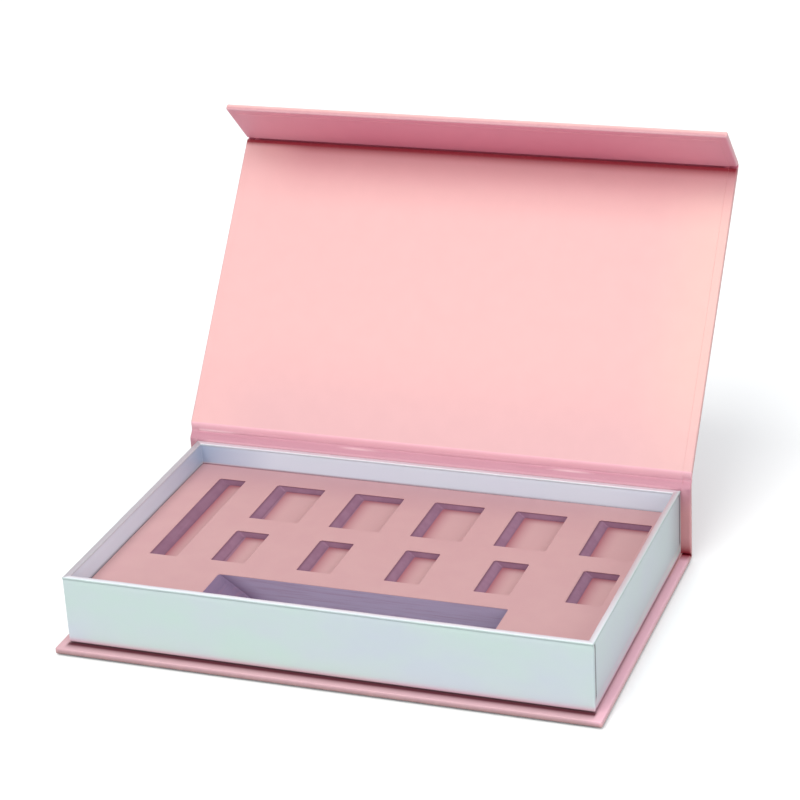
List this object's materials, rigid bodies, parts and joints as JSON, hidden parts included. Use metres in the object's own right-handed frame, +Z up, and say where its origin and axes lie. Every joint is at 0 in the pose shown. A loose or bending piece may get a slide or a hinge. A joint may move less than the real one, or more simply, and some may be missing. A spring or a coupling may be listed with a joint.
{
  "type": "press-on nail box",
  "caption": "Book-style rigid box for press-on nails: hinged lid with a magnetic front flap, paper-wrapped tray and a foam insert with nail pockets, a file slot and a deep tool slot.",
  "frame": {"origin": "middle of the base panel's underside", "axes": "+X along the box to the right, +Y from the front edge to the spine, +Z up"},
  "size_m": [0.2074, 0.2096, 0.1518],
  "materials": {
    "pink_paper": "matte",
    "pearl_paper": "satin",
    "greyboard": "matte",
    "kraft_tape": "matte",
    "plated_steel": "satin",
    "mauve_foam": "matte",
    "rose_facing": "matte"
  },
  "bodies": {
    "box": {"base_board": "greyboard", "base_wrap": "pink_paper", "base_crease_wrap": "pink_paper", "spine_board": "greyboard", "spine_wrap": "pink_paper", "spine_liner": "pink_paper", "tray_floor_board": "greyboard", "tray_front_board": "greyboard", "tray_back_board": "greyboard", "tray_left_board": "greyboard", "tray_right_board": "greyboard", "tray_keeper_left": "plated_steel", "tray_keeper_right": "plated_steel", "tray_stay_front_left": "kraft_tape", "tray_stay_front_right": "kraft_tape", "tray_stay_back_left": "kraft_tape", "tray_stay_back_right": "kraft_tape", "tray_wrap": "pearl_paper", "tray_floor_liner": "pearl_paper", "insert_lower_foam": "mauve_foam", "insert_pocket_floor": "rose_facing", "insert_upper_foam": "mauve_foam", "insert_face": "rose_facing"},
    "lid": {"lid_crease_wrap": "pink_paper", "lid_crease_liner": "pink_paper", "lid_board": "greyboard", "lid_wrap": "pink_paper", "lid_liner": "pink_paper"},
    "flap": {"flap_crease_wrap": "pink_paper", "flap_crease_liner": "pink_paper", "flap_board": "greyboard", "flap_wrap": "pink_paper", "flap_liner": "pink_paper", "flap_magnet_left": "plated_steel", "flap_magnet_right": "plated_steel"}
  },
  "joints": [
    {"name": "lid_hinge", "type": "hinge", "parent": "box", "child": "lid", "pos_m": [0, 0.06486, 0.03272], "axis": [-1, 0, 0], "range_deg": [-129.2, 50.8], "deforming": ["lid_crease_wrap", "lid_crease_liner"]},
    {"name": "flap_hinge", "type": "hinge", "parent": "lid", "child": "flap", "pos_m": [0, 0.14585, 0.13202], "axis": [1, 0, 0], "range_deg": [-85.4, 4.6], "deforming": ["flap_crease_wrap", "flap_crease_liner"]}
  ]
}
